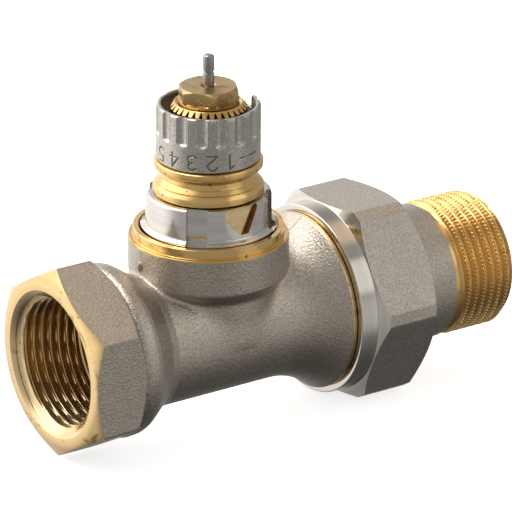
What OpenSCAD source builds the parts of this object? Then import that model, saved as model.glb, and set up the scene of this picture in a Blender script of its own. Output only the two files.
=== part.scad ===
// Straight thermostatic radiator valve, DN 20, with a presetting ring and a union tail.
// Origin at the centre of the inlet face, +X from the inlet to the tail, +Z up the spindle.

/* [Inlet] */
// Across flats of the inlet hexagon
inlet_af = 32.5; // [31:0.5:33]
// Crest radius of the inlet's internal thread, Rp 3/4
inlet_thread_r = 12.06; // [11.9:0.02:12.3]
// Depth of the inlet socket
inlet_depth = 15; // [13.5:0.5:15.5]

/* [Barrel and neck] */
// Outer radius of the barrel
barrel_r = 12.6; // [12.2:0.1:13]
// Radius of the waterway
waterway_r = 9.5; // [9:0.1:9.6]
// Distance from the inlet face to the spindle axis
neck_x = 35; // [34:0.5:36]
// Outer radius of the neck
neck_r = 15; // [14.8:0.1:15.4]
// Height of the neck's machined rim above the pipe axis
neck_top = 20.4; // [20:0.1:20.6]

/* [Valve insert] */
// Outer radius of the slotted collar that a sensor head clips onto
collar_r = 11.75; // [11.5:0.05:11.9]
// Top of the slotted collar
collar_top = 27.1; // [26.6:0.1:27.2]
// Outer radius of the setting ring
ring_r = 9.7; // [9.5:0.05:10]
// Lowest edge of the setting ring
ring_bottom = 33.8; // [33.8:0.1:34.2]
// Top edge of the setting ring
ring_top = 44.3; // [43.5:0.1:44.4]
// Number of grip flutes round the setting ring
flute_count = 16; // [12:1:18]
// Number of teeth on the setting sleeve's head
tooth_count = 32; // [24:1:36]
// Radius of the pressure pin
pin_r = 1.07; // [0.95:0.01:1.1]
// Height of the pressure pin's tip above the pipe axis
pin_top = 53.7; // [52:0.1:54]

/* [Union and tail] */
// Across flats of the union nut
nut_af = 37; // [36:0.5:38]
// Front face of the union nut, measured from the inlet face
nut_front = 57.4; // [57.4:0.1:57.6]
// Length of the union nut
nut_length = 16.9; // [16.7:0.1:17.2]
// Crest radius of the tail's external thread, R 3/4
tail_thread_r = 13.2; // [13:0.05:13.3]
// Distance from the inlet face to the end of the tail
overall_length = 97.1; // [95:0.1:98]

/* [Hidden] */
$fn = 96;
// radial clearance of a running fit
fit = 0.05;
// inlet hexagon: chamfer on the face, end of the flats and end of the rounded band behind them
inlet_face_r = 15.85;
inlet_hex_end = 11;
inlet_band_end = 14.4;
barrel_start = 20.5;
mouth_r = 14.06;
mouth_depth = mouth_r - inlet_thread_r;
// flare from the barrel to the union thread
flare_start = 45;
flare_end = 56.4;
flare_r = 17.1;
flare_edge_end = 57.3;
body_end = 69;
union_thread_r = 15.9;
// seat, and the passages that lead to it and away from it
seat_r = 5.5;
seat_top = 2;
chamber_floor = 1;
inlet_passage_r = 4.6;
inlet_passage_z = -4.4;
outlet_passage_r = 4;
outlet_passage_z = 5.2;
// throttle cylinder that turns in the chamber above the seat
throttle_r = 8.6;
throttle_wall = 1;
throttle_top = 12;
// insert bore, counterbore and collar
bonnet_r = 9.6;
bonnet_bottom = 10.2;
counterbore_floor = 17.4;
counterbore_r = 13;
collar_flange_r = 12.7;
collar_flange_top = 21.1;
collar_slot_w = 4;
collar_slot_depth = 1.3;
bonnet_top = 33.7;
// setting sleeve
sleeve_r = 6.4;
sleeve_hub_r = 5;
sleeve_bore_r = 4.6;
sleeve_bottom = 10.6;
sleeve_ledge = 16;
sleeve_top = 44.6;
head_bottom = 34;
head_crest_r = 7.2;
head_root_r = 6.5;
sleeve_ring_z = [19, 27];
// gland
gland_bottom = 38.2;
gland_seat = 44.6;
gland_af = 10.5;
gland_top = 47.7;
// stem: spindle, cone and return spring
spindle_r = 2;
spindle_tip_r = 1.5;
cup_bottom = 33;
cup_top = 36.5;
spring_wire_r = 0.45;
spring_mean_r = 3.6;
spring_turns = 7;
cone_r = 6.9;
cone_bottom = 4.9;
cone_top = 7.3;
seal_bottom = 4.25;
// union nut and tail
nut_bore_r = union_thread_r + fit;
nut_collar_r = 18.3;
nut_collar_end = nut_front + 3.7;
nut_shoulder = 72.35;
nut_end = nut_front + nut_length;
nut_corner_r = 20.7;
nut_turn = 26.6;
tail_r = 13.1;
tail_collar_r = 15.1;
tail_collar_start = 69.2;
tail_nose_start = 64.4;
tail_nose_r = 12.45;
tail_groove_start = 83.1;
tail_thread_start = 84.3;

plated = [0.62, 0.6, 0.57];
polished = [0.75, 0.74, 0.72];
brass = [0.82, 0.66, 0.32];
steel = [0.68, 0.69, 0.7];
rubber = [0.08, 0.08, 0.08];

// points of an arc of radius r round the centre c, from angle a0 to a1
function arc(c, r, a0, a1, n = 8) =
    [for (i = [0:n]) c + r * [cos(a0 + (a1 - a0) * i / n), sin(a0 + (a1 - a0) * i / n)]];

// a solid turned about the pipe axis: each point is [radius, x]
module turned_x(points) rotate([0, 90, 0]) rotate_extrude() polygon(points);

// a solid turned about the spindle axis: each point is [radius, z]
module turned_z(points) translate([neck_x, 0, 0]) rotate_extrude() polygon(points);

module rod_x(r, x0, x1, z = 0) translate([x0, 0, z]) rotate([0, 90, 0]) cylinder(r = r, h = x1 - x0);

module rod_z(r, z0, z1) translate([neck_x, 0, z0]) cylinder(r = r, h = z1 - z0);

module hexagon_x(af, x0, x1, turn = 0)
    translate([x0, 0, 0]) rotate([0, 90, 0]) rotate([0, 0, turn])
        cylinder(r = af / sqrt(3), h = x1 - x0, $fn = 6);

module hexagon_z(af, z0, z1, turn = 0)
    translate([neck_x, 0, z0]) rotate([0, 0, turn]) cylinder(r = af / sqrt(3), h = z1 - z0, $fn = 6);

// an O-ring round the spindle axis
module o_ring_z(mean_r, wire_r, z)
    translate([neck_x, 0, z]) rotate_extrude() translate([mean_r, 0]) circle(r = wire_r, $fn = 32);

module inlet_hexagon() {
    intersection() {
        hexagon_x(inlet_af, 0, inlet_hex_end);
        turned_x([[0, 0], [inlet_face_r, 0], [18.9, 1.75], [18.9, 8.9], [15.9, inlet_hex_end],
            [0, inlet_hex_end]]);
    }
}

module barrel() {
    flare_rise = flare_r - barrel_r;
    flare_run = flare_end - flare_start;
    flare_arc_r = (flare_run * flare_run + flare_rise * flare_rise) / (2 * flare_rise);
    flare_angle = asin(flare_run / flare_arc_r);
    turned_x(concat(
        [[0, 10.4], [16.3, 10.4], [16.5, 11.6], [16.4, 13.2], [16.1, inlet_band_end], [15, 16.05]],
        [[13, 19], [barrel_r, barrel_start]],
        arc([barrel_r + flare_arc_r, flare_start], flare_arc_r, 180, 180 - flare_angle),
        [[flare_r, flare_edge_end], [union_thread_r, flare_edge_end]],
        [[union_thread_r, body_end - 1], [union_thread_r - 1, body_end], [0, body_end]]));
}

module neck() {
    turned_z([[0, 0], [12.3, 0], [12.6, 1], [12.7, 2.5], [12.7, 9], [neck_r - 0.15, 11.2],
        [neck_r, 11.6], [neck_r, 18.6], [14.1, 18.7], [14.1, neck_top], [0, neck_top]]);
}

module body_cavities() {
    // inlet socket
    turned_x([[0, -1], [mouth_r + 1, -1], [mouth_r, 0], [inlet_thread_r, mouth_depth],
        [inlet_thread_r, inlet_depth], [waterway_r, inlet_depth + 1.5], [waterway_r, 22], [0, 22]]);
    // passage under the seat
    rod_x(inlet_passage_r, 21, neck_x + 6.5, inlet_passage_z);
    rod_z(seat_r, inlet_passage_z, seat_top + 1);
    // chamber above the seat, leaving a raised rim round it
    difference() {
        rod_z(throttle_r + fit, chamber_floor, bonnet_bottom + 1);
        rod_z(seat_r + 1.2, chamber_floor - 1, seat_top);
    }
    // window to the outlet
    rod_x(outlet_passage_r, neck_x + 6, 47, outlet_passage_z);
    rod_x(waterway_r, 46.5, 65);
    rod_x(tail_nose_r + fit, 64, body_end + 1);
    // bore for the insert, and its counterbore
    rod_z(bonnet_r + fit, bonnet_bottom - 0.2, neck_top + 1);
    rod_z(counterbore_r, counterbore_floor, neck_top + 1);
}

module valve_body() {
    color(plated)
    difference() {
        union() {
            inlet_hexagon();
            barrel();
            neck();
        }
        body_cavities();
    }
}

module sensor_collar() {
    color(polished)
    difference() {
        turned_z([[bonnet_r + fit, counterbore_floor], [collar_flange_r, counterbore_floor],
            [collar_flange_r, collar_flange_top - 0.35], [collar_r, collar_flange_top],
            [collar_r, collar_top - 0.6], [collar_r - 0.6, collar_top], [bonnet_r + fit, collar_top]]);
        for (a = [45:90:315])
            translate([neck_x, 0, neck_top]) rotate([0, 0, a])
                translate([collar_r - collar_slot_depth, -collar_slot_w / 2, 0])
                    cube([4, collar_slot_w, 12]);
    }
}

module bonnet() {
    color(brass)
    difference() {
        turned_z([[0, bonnet_bottom], [bonnet_r, bonnet_bottom], [bonnet_r, 13.2], [8.7, 13.2],
            [8.7, 14.4], [bonnet_r, 14.4], [bonnet_r, 27.3], [10.4, 27.4], [9.9, 29.2], [9.5, 29.3],
            [8.7, 30.6], [8.7, 31.4], [9.9, 32.2], [10.2, 32.6], [10.2, 33.3], [9.9, bonnet_top],
            [0, bonnet_top]]);
        rod_z(throttle_r + 0.1, bonnet_bottom - 1, 12.5);
        rod_z(sleeve_r + fit, 12, bonnet_top + 1);
    }
}

module bonnet_o_ring() {
    color(rubber) o_ring_z(9.16, 0.44, 13.8);
}

module setting_ring() {
    color(polished)
    difference() {
        turned_z([[head_crest_r + fit, ring_bottom], [9.2, ring_bottom], [ring_r, ring_bottom + 0.4],
            [ring_r, ring_top - 0.3], [ring_r - 0.3, ring_top], [8.9, ring_top], [8.77, ring_top - 0.2],
            [8.77, 40], [head_crest_r + fit, 40]]);
        // grip flutes, open at the top
        for (i = [0:flute_count - 1])
            translate([neck_x, 0, 38.8]) rotate([0, 0, -109 + i * 360 / flute_count])
                translate([ring_r + 1.15, 0, 0]) cylinder(r = 1.7, h = 7, $fn = 32);
        // lowered stretch of the rim
        translate([neck_x, 0, ring_top - 2.4]) rotate([0, 0, -8])
            rotate_extrude(angle = 36) translate([8, 0]) square([3, 3]);
    }
}

// outline of the toothed head
function tooth_points() = [for (i = [0:tooth_count - 1], k = [0:3])
    let (a = (i + [-0.32, -0.14, 0.14, 0.32][k]) * 360 / tooth_count,
         r = [head_root_r, head_crest_r, head_crest_r, head_root_r][k])
    r * [cos(a), sin(a)]];

module setting_sleeve() {
    color(brass)
    difference() {
        union() {
            turned_z([[0, sleeve_bottom], [sleeve_hub_r, sleeve_bottom], [sleeve_hub_r, throttle_top + 0.3],
                [sleeve_r, throttle_top + 0.3], [sleeve_r, sleeve_top - 0.6], [0, sleeve_top - 0.6]]);
            intersection() {
                translate([neck_x, 0, head_bottom])
                    linear_extrude(height = sleeve_top - head_bottom) polygon(tooth_points());
                turned_z([[0, head_bottom], [8, head_bottom], [8, 43], [6.3, sleeve_top], [0, sleeve_top]]);
            }
        }
        rod_z(sleeve_bore_r, sleeve_ledge, sleeve_top + 1);
        rod_z(spindle_r + 0.06, sleeve_bottom - 1, sleeve_ledge + 1);
        for (z = sleeve_ring_z)
            turned_z([[5.4, z - 0.55], [7, z - 0.55], [7, z + 0.55], [5.4, z + 0.55]]);
    }
}

module sleeve_o_rings() {
    color(rubber) for (z = sleeve_ring_z) o_ring_z(5.9, 0.5, z);
}

module throttle_cylinder() {
    color([0.2, 0.2, 0.2])
    difference() {
        rod_z(throttle_r, chamber_floor + 0.2, throttle_top);
        rod_z(throttle_r - throttle_wall, chamber_floor, sleeve_bottom);
        rod_z(sleeve_hub_r, sleeve_bottom - 1, throttle_top + 1);
        // flow window, wide at the open setting and narrow at setting 1
        for (i = [0:5])
            translate([neck_x, 0, outlet_passage_z - 3.2]) rotate([0, 0, 18 - i * 25])
                translate([0, -1.6, 0]) cube([12, 3.2, 6.4 - i]);
    }
}

module gland() {
    color(brass)
    difference() {
        union() {
            rod_z(sleeve_bore_r, gland_bottom, gland_seat);
            rod_z(5.6, gland_seat, gland_seat + 0.6);
            intersection() {
                hexagon_z(gland_af, gland_seat + 0.6, gland_top, 4.4);
                turned_z([[0, gland_seat], [6.6, gland_seat], [6.6, 46.9], [5.2, gland_top], [0, gland_top]]);
            }
        }
        rod_z(pin_r + fit, gland_bottom - 1, gland_top + 1);
        rod_z(2.4, 40, 43);
        turned_z([[3.8, 42.2], [5, 42.2], [5, 43.3], [3.8, 43.3]]);
    }
}

module gland_o_ring() {
    color(rubber) o_ring_z(4.2, 0.4, 42.75);
}

module pin_seal() {
    color(rubber) o_ring_z((pin_r + fit + 2.4) / 2, (2.4 - pin_r - fit) / 2, 41);
}

module pin_backing_ring() {
    color("white")
    difference() {
        rod_z(2.4, 41.8, 43);
        rod_z(pin_r + fit, 41, 44);
    }
}

module pressure_pin() {
    color(steel)
    turned_z([[0, cup_top], [1.9, cup_top], [1.9, cup_top + 1.5], [pin_r, cup_top + 1.5],
        [pin_r, 50.1], [pin_r - 0.2, 50.2], [pin_r - 0.2, 50.5], [pin_r, 50.6],
        [pin_r, pin_top - 0.7], [pin_r - 0.25, pin_top - 0.25], [pin_r - 0.6, pin_top], [0, pin_top]]);
}

module spindle() {
    color(steel)
    turned_z([[0, 3.3], [spindle_tip_r, 3.3], [spindle_tip_r, cone_top], [spindle_r, cone_top],
        [spindle_r, cup_bottom], [spindle_tip_r, cup_bottom], [spindle_tip_r, cup_top], [0, cup_top]]);
}

module spring_cup() {
    color(brass)
    difference() {
        rod_z(4.4, cup_bottom, cup_top - 0.5);
        rod_z(spindle_tip_r, cup_bottom - 1, cup_top);
    }
}

// compression spring, a wire swept along a helix
module return_spring() {
    sides = 8;
    steps = 20 * spring_turns;
    z0 = sleeve_ledge + spring_wire_r + fit;
    z1 = cup_bottom - spring_wire_r - fit;
    ring = [for (s = [0:steps], k = [0:sides - 1])
        let (a = 360 * spring_turns * s / steps, b = 360 * k / sides,
             r = spring_mean_r + spring_wire_r * cos(b))
        [r * cos(a), r * sin(a), z0 + (z1 - z0) * s / steps + spring_wire_r * sin(b)]];
    skin = [for (s = [0:steps - 1], k = [0:sides - 1])
        let (n = (k + 1) % sides)
        [s * sides + k, (s + 1) * sides + k, (s + 1) * sides + n, s * sides + n]];
    ends = [[for (k = [0:sides - 1]) k], [for (k = [sides - 1:-1:0]) steps * sides + k]];
    color(steel) translate([neck_x, 0, 0]) polyhedron(points = ring, faces = concat(skin, ends));
}

module cone_plate() {
    color(brass)
    difference() {
        turned_z([[0, cone_bottom], [cone_r, cone_bottom], [cone_r, 6.6], [6.2, cone_top], [0, cone_top]]);
        rod_z(6.3, cone_bottom - 1, 6.2);
        rod_z(spindle_tip_r, cone_bottom, cone_top + 1);
    }
}

module cone_seal() {
    color(rubber)
    difference() {
        rod_z(6.3, seal_bottom, 6.2);
        rod_z(spindle_tip_r, seal_bottom - 1, 7);
    }
}

module cone_nut() {
    color(brass)
    difference() {
        hexagon_z(5, 3.3, seal_bottom);
        rod_z(spindle_tip_r, 3, 5);
    }
}

module union_nut() {
    color(plated)
    difference() {
        union() {
            rod_x(nut_collar_r, nut_front, nut_collar_end + 1);
            intersection() {
                hexagon_x(nut_af, nut_collar_end, nut_end, nut_turn);
                turned_x([[0, nut_collar_end], [nut_collar_r, nut_collar_end],
                    [nut_corner_r, nut_collar_end + 1.3], [nut_corner_r, nut_end - 1.5],
                    [18.3, nut_end], [0, nut_end]]);
            }
        }
        rod_x(nut_bore_r, nut_front - 1, nut_shoulder);
        rod_x(tail_r + fit, nut_shoulder - 1, nut_end + 1);
        turned_x([[0, nut_front - 1], [17.9, nut_front - 1], [16.9, nut_front], [nut_bore_r, nut_front + 0.95],
            [0, nut_front + 0.95]]);
    }
}

module tailpiece() {
    color(brass)
    difference() {
        turned_x([[0, tail_nose_start], [tail_nose_r - 0.4, tail_nose_start],
            [tail_nose_r, tail_nose_start + 0.4], [tail_nose_r, 66], [11.4, 66], [11.4, 67.3],
            [tail_nose_r, 67.3], [tail_nose_r, tail_collar_start], [tail_collar_r, tail_collar_start],
            [tail_collar_r, nut_shoulder - fit], [tail_r, nut_shoulder - fit],
            [tail_r, tail_groove_start], [12.5, tail_groove_start], [12.5, tail_thread_start],
            [tail_thread_r, tail_thread_start + 0.6], [tail_thread_r, overall_length - 1],
            [12.3, overall_length], [0, overall_length]]);
        rod_x(waterway_r, tail_nose_start - 1, overall_length + 1);
    }
}

module tail_o_ring() {
    color(rubber) translate([66.65, 0, 0]) rotate([0, 90, 0])
        rotate_extrude() translate([11.9, 0]) circle(r = 0.5, $fn = 32);
}

valve_body();
sensor_collar();
bonnet();
bonnet_o_ring();
setting_ring();
setting_sleeve();
sleeve_o_rings();
throttle_cylinder();
gland();
gland_o_ring();
pin_seal();
pin_backing_ring();
pressure_pin();
spindle();
spring_cup();
return_spring();
cone_plate();
cone_seal();
cone_nut();
union_nut();
tailpiece();
tail_o_ring();
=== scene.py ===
import math

import bpy
import numpy as np
from mathutils import Matrix, Quaternion, Vector


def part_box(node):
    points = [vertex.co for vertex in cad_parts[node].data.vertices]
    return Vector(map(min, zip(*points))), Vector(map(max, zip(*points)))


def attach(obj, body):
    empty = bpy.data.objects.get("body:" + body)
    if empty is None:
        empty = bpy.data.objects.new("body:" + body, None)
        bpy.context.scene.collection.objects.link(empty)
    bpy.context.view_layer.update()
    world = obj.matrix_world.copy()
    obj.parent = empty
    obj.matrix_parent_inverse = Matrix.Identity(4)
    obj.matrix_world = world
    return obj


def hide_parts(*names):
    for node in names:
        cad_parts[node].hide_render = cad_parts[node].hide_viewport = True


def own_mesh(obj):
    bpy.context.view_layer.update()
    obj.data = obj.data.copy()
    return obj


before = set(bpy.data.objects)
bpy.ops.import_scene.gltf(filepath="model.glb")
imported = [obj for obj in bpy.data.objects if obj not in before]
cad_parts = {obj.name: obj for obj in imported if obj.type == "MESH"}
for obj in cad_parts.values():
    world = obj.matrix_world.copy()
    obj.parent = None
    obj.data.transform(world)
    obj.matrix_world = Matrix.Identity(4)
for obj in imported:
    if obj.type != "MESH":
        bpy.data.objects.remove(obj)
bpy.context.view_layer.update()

# ---------------------------------------------------------------- measures, in millimetres

MM = 0.001
X, Y, Z = 0, 1, 2


def span(node, axis):
    """Lowest and highest coordinate of a CAD node along one axis."""
    low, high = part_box(node)
    return low[axis] / MM, high[axis] / MM


BODY_END = span("valve_body", X)[1]
NECK_TOP = span("valve_body", Z)[1]
NECK_X = sum(span("pressure_pin", X)) / 2
COLLAR_TOP = span("sensor_collar", Z)[1]
RING_BOTTOM, RING_TOP = span("setting_ring", Z)
RING_R = span("setting_ring", Y)[1]
SLEEVE_BOTTOM, SLEEVE_TOP = span("setting_sleeve", Z)
GLAND_BOTTOM, GLAND_TOP = span("gland", Z)
PIN_BOTTOM, PIN_TOP = span("pressure_pin", Z)
NUT_FRONT, NUT_END = span("union_nut", X)
TAIL_START, TAIL_END = span("tailpiece", X)
FLOOR_Z = min(span("valve_body", Z)[0], span("union_nut", Z)[0])

# inlet
INLET_AF = 32.5
INLET_MINOR, INLET_MAJOR = 12.06, 13.22
PIPE_PITCH = 1.814
MOUTH_R = 14.06
SOCKET_END = 15
WATERWAY_R = 9.5
# chamber and passages inside the body
CHAMBER_R, SEAT_R, PASSAGE_R, WINDOW_R, TAIL_SOCKET_R = 8.65, 5.5, 4.6, 4, 12.5
PASSAGE_Z, WINDOW_Z = -4.4, 5.2
# barrel and flare
BARREL_R = 12.63
FLARE_START, FLARE_END, FLARE_R = 45, 56.3, 17.1
FLARE_EDGE = 57.3
# union thread, G 1
UNION_CREST, UNION_ROOT, UNION_PITCH = 16.62, 15.15, 2.309
THREAD_GAP = 0.1
# neck and counterbore
NECK_R = 15.02
NECK_LEDGE = 18.62
RIM_R, COUNTERBORE_R, COUNTERBORE_Z = 14.1, 13.0, 17.4
# collar
COLLAR_R, COLLAR_BORE = 11.75, 9.65
FLANGE_R, FLANGE_TOP = 12.7, 21.1
SLOT_WIDTH, SLOT_DEPTH, SLOT_TURN = 4.05, 1.2, -44.3
NOTCH_TURN, NOTCH_HALF, NOTCH_TIP_HALF, NOTCH_DEPTH, NOTCH_TIP = 0.7, 3.35, 0.93, 1.2, 22
# setting ring
FLUTES, FLUTE_TURN, FLUTE_R, FLUTE_DEPTH, FLUTE_END = 16, -19.0, 1.7, 0.55, 38.6
RING_BORE, RIM_BORE, RIM_FLOOR = 7.25, 8.77, 40
DIGIT_TOP, DIGIT_HEIGHT, DIGIT_WIDTH, DIGIT_STEP, DIGIT_ONE = 37.15, 2.75, 3.3, -22.5, -6.6
STROKE_HALF, STROKE_DEPTH = 0.17, 0.13
GLAND_AF, GLAND_TURN = 10.4, -25.6
SLEEVE_LEDGE, CUP_BOTTOM = 16, 33
# union nut
NUT_AF, NUT_TURN, NUT_TRUNCATED = 37, 3.4, 41.32
NUT_COLLAR_R, NUT_COLLAR_END, NUT_SHOULDER = 18.3, 61.1, 72.35
# tail
TAIL_R, TAIL_GROOVE, TAIL_THREAD = 13.1, 83.1, 84.3
TAIL_CREST, TAIL_ROOT = 13.2, 12.1


# ---------------------------------------------------------------- outlines and swept meshes

def arc(centre, radius, start, end, steps=16):
    """Points of a circular arc, with its angles in degrees."""
    turns = np.radians(np.linspace(start, end, steps + 1))
    return [(centre[0] + radius * math.cos(t), centre[1] + radius * math.sin(t)) for t in turns]


def rounded(points, steps=4):
    """An outline with its corners filleted. A point is (along, radius) or (along, radius, fillet)."""
    out = []
    for i, point in enumerate(points):
        at = np.array(point[:2], float)
        size = point[2] if len(point) > 2 else 0
        if size == 0:
            out.append(at)
            continue
        back = np.array(points[i - 1][:2], float) - at
        ahead = np.array(points[(i + 1) % len(points)][:2], float) - at
        lengths = np.linalg.norm(back), np.linalg.norm(ahead)
        back, ahead = back / lengths[0], ahead / lengths[1]
        half = math.acos(np.clip(back @ ahead, -1, 1)) / 2
        reach = min(size / math.tan(half), 0.49 * min(lengths))
        middle = (back + ahead) / np.linalg.norm(back + ahead)
        centre = at + middle * reach / math.cos(half)
        first, last = at + back * reach - centre, at + ahead * reach - centre
        turn = math.atan2(first[0] * last[1] - first[1] * last[0], first @ last)
        for t in np.linspace(0, turn, steps + 1):
            c, s = math.cos(t), math.sin(t)
            out.append(centre + np.array([c * first[0] - s * first[1], s * first[0] + c * first[1]]))
    return np.array(out)


def divided(outline, step, first=-1e9, last=1e9, closed=True):
    """The outline with its stretches between two places along the axis divided into short steps."""
    out = []
    count = len(outline) if closed else len(outline) - 1
    for i in range(count):
        a, b = outline[i], outline[(i + 1) % len(outline)]
        inside = first - 1e-6 <= min(a[0], b[0]) and max(a[0], b[0]) <= last + 1e-6
        parts = max(1, math.ceil(np.linalg.norm(b - a) / step)) if inside else 1
        out += [a + (b - a) * k / parts for k in range(parts)]
    if not closed:
        out.append(outline[-1])
    return np.array(out)


def place(axis, along, radius, angle):
    """Points at an angle from -Y, toward +Z round the pipe axis or toward +X round the spindle."""
    if axis == X:
        return np.stack([along, -radius * np.cos(angle), radius * np.sin(angle)], -1)
    return np.stack([NECK_X + radius * np.sin(angle), -radius * np.cos(angle), along], -1)


def sweep(outline, columns, axis, shape=None, closed=True):
    """Points and faces of an outline swept round an axis. An open outline starts and ends on the axis."""
    angles = np.radians(columns) if np.ndim(columns) else np.arange(columns) * 2 * np.pi / columns
    count = len(angles)
    along, radius = np.repeat(outline[:, :1], count, 1), np.repeat(outline[:, 1:], count, 1)
    if shape:
        along, radius = shape(along, radius, np.broadcast_to(angles, along.shape))
    points = place(axis, along, radius, np.broadcast_to(angles, along.shape))
    rows = len(outline)
    index = np.arange(rows * count).reshape(rows, count)
    a, b = index, np.roll(index, -1, 1)
    if closed:
        c, d = np.roll(b, -1, 0), np.roll(a, -1, 0)
    else:
        a, b, c, d = a[:-1], b[:-1], b[1:], a[1:]
    faces = np.stack([a, b, c, d], -1).reshape(-1, 4)
    points = points.reshape(-1, 3)
    if not closed:
        faces = faces.copy()
        faces[np.isin(faces, index[0])] = index[0, 0]
        faces[np.isin(faces, index[-1])] = index[-1, 0]
    return points, faces


def build(name, points, faces, materials, pick=None, sharp=30):
    """A mesh object from points in millimetres. pick gives each face's material from its centre."""
    used, where = np.unique(faces, return_inverse=True)
    points, faces = points[used], where.reshape(faces.shape)
    a, b, c = points[faces[:, 0]], points[faces[:, 1]], points[faces[:, 2]]
    d = points[faces[:, 3]]
    volume = np.einsum("ij,ij->i", a, np.cross(b, c)).sum() + np.einsum("ij,ij->i", a, np.cross(c, d)).sum()
    if volume < 0:
        faces = faces[:, ::-1]
    polygons = [list(dict.fromkeys(f)) for f in faces.tolist()]
    polygons = [f for f in polygons if len(f) > 2]
    mesh = bpy.data.meshes.new(name)
    mesh.from_pydata((points * MM).tolist(), [], polygons)
    piece = bpy.data.objects.new(name, mesh)
    bpy.context.scene.collection.objects.link(piece)
    for material in materials:
        mesh.materials.append(material)
    if pick:
        assign(mesh, pick)
    finish_mesh(mesh, sharp)
    return piece


def assign(mesh, pick):
    """Sets each face's material from its centre in millimetres."""
    centres = np.zeros(len(mesh.polygons) * 3)
    mesh.polygons.foreach_get("center", centres)
    chosen = pick(*(centres.reshape(-1, 3).T / MM))
    mesh.polygons.foreach_set("material_index", np.asarray(chosen, np.int32))


def finish_mesh(mesh, sharp):
    mesh.polygons.foreach_set("use_smooth", np.ones(len(mesh.polygons), bool))
    mesh.set_sharp_from_angle(angle=math.radians(sharp))
    mesh.update()


def cut(piece, tools, sharp=30):
    """Takes the tools out of a piece. A cut surface keeps its tool's material."""
    for tool in tools:
        modifier = piece.modifiers.new("cut", "BOOLEAN")
        modifier.operation, modifier.solver = "DIFFERENCE", "MANIFOLD"
        modifier.material_mode, modifier.object = "TRANSFER", tool
    graph = bpy.context.evaluated_depsgraph_get()
    mesh = bpy.data.meshes.new_from_object(piece.evaluated_get(graph))
    piece.modifiers.clear()
    old, piece.data = piece.data, mesh
    bpy.data.meshes.remove(old)
    mesh.name = piece.name
    for tool in tools:
        bpy.data.objects.remove(tool)
    finish_mesh(mesh, sharp)
    return piece


def fit_in(piece, body, slot, *nodes):
    """Joins a finished piece to the frame, in place of its CAD nodes."""
    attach(piece, body)
    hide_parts(*nodes)
    return piece


def soft_least(a, b, width):
    """The smaller of two distances, blended over a width where they meet."""
    share = np.clip(0.5 + 0.5 * (b - a) / width, 0, 1)
    return b + (a - b) * share - width * share * (1 - share)


def soft_most(a, b, width):
    return -soft_least(-a, -b, width)


def thread(along, angle, pitch, root, crest):
    """Radius of a right-hand thread round the pipe axis, with hollow roots and narrow flat crests."""
    turn = (along / pitch + angle / (2 * np.pi)) % 1
    climb = (1 - 2 * np.abs(turn - 0.5)) ** 1.7
    return root + (crest - root) * np.minimum(1.25 * climb, 1)


def hexagon(angle, across, turn):
    """Radius of a hexagon whose first corner is at an angle in degrees."""
    from_flat = (angle - math.radians(turn)) % (math.pi / 3) - math.pi / 6
    return across / 2 / np.cos(from_flat)


def fade(value, start, end):
    """0 before start, 1 after end."""
    t = np.clip((value - start) / (end - start), 0, 1)
    return t * t * (3 - 2 * t)


# ---------------------------------------------------------------- materials

class Recipe:
    """Builds one material's nodes."""

    def __init__(self, name):
        self.material = bpy.data.materials.new(name)
        self.material.use_nodes = True
        self.tree = self.material.node_tree
        self.shader = self.tree.nodes["Principled BSDF"]
        self.place = self.node("ShaderNodeTexCoord").outputs["Object"]

    def node(self, kind, settings=None, **inputs):
        made = self.tree.nodes.new(kind)
        for key, value in (settings or {}).items():
            setattr(made, key, value)
        for key, value in inputs.items():
            self.feed(made.inputs[key.replace("_", " ")], value)
        return made

    def feed(self, socket, value):
        if isinstance(value, bpy.types.NodeSocket):
            self.tree.links.new(value, socket)
        else:
            socket.default_value = value

    def noise(self, scale, detail=3, where=None, rough=0.5, distortion=0):
        made = self.node("ShaderNodeTexNoise", Scale=scale, Detail=detail, Roughness=rough,
                         Distortion=distortion)
        self.feed(made.inputs["Vector"], where or self.place)
        return made.outputs["Fac"]

    def math(self, operation, first, second=0.0):
        made = self.node("ShaderNodeMath", {"operation": operation})
        self.feed(made.inputs[0], first)
        self.feed(made.inputs[1], second)
        return made.outputs[0]

    def remap(self, value, low, high, to_low=0.0, to_high=1.0):
        made = self.node("ShaderNodeMapRange", {"interpolation_type": "SMOOTHSTEP"}, Value=value)
        for key, number in zip(("From Min", "From Max", "To Min", "To Max"), (low, high, to_low, to_high)):
            made.inputs[key].default_value = number
        return made.outputs["Result"]

    def mix(self, share, first, second):
        made = self.node("ShaderNodeMix", {"data_type": "RGBA"})
        self.feed(made.inputs[0], share)
        self.feed(made.inputs[6], first)
        self.feed(made.inputs[7], second)
        return made.outputs[2]

    def bump(self, height, strength, distance, below=None):
        made = self.node("ShaderNodeBump", Strength=strength, Distance=distance, Height=height)
        if below:
            self.feed(made.inputs["Normal"], below)
        return made.outputs["Normal"]

    def turning(self, axis):
        """Coordinates that change only along the axis and outward from it, for turning marks."""
        parts = self.node("ShaderNodeSeparateXYZ", Vector=self.place).outputs
        if axis == X:
            along, one, two = parts[0], parts[1], parts[2]
        else:
            along, one, two = parts[2], self.math("SUBTRACT", parts[0], NECK_X * MM), parts[1]
        outward = self.math("SQRT", self.math("ADD", self.math("POWER", self.math("ABSOLUTE", one), 2.0),
                                              self.math("POWER", self.math("ABSOLUTE", two), 2.0)))
        return self.node("ShaderNodeCombineXYZ", X=along, Y=outward).outputs[0]

    def done(self, **values):
        for key, value in values.items():
            self.feed(self.shader.inputs[key.replace("_", " ")], value)
        return self.material


def colour(red, green, blue):
    return (red, green, blue, 1.0)


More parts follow.
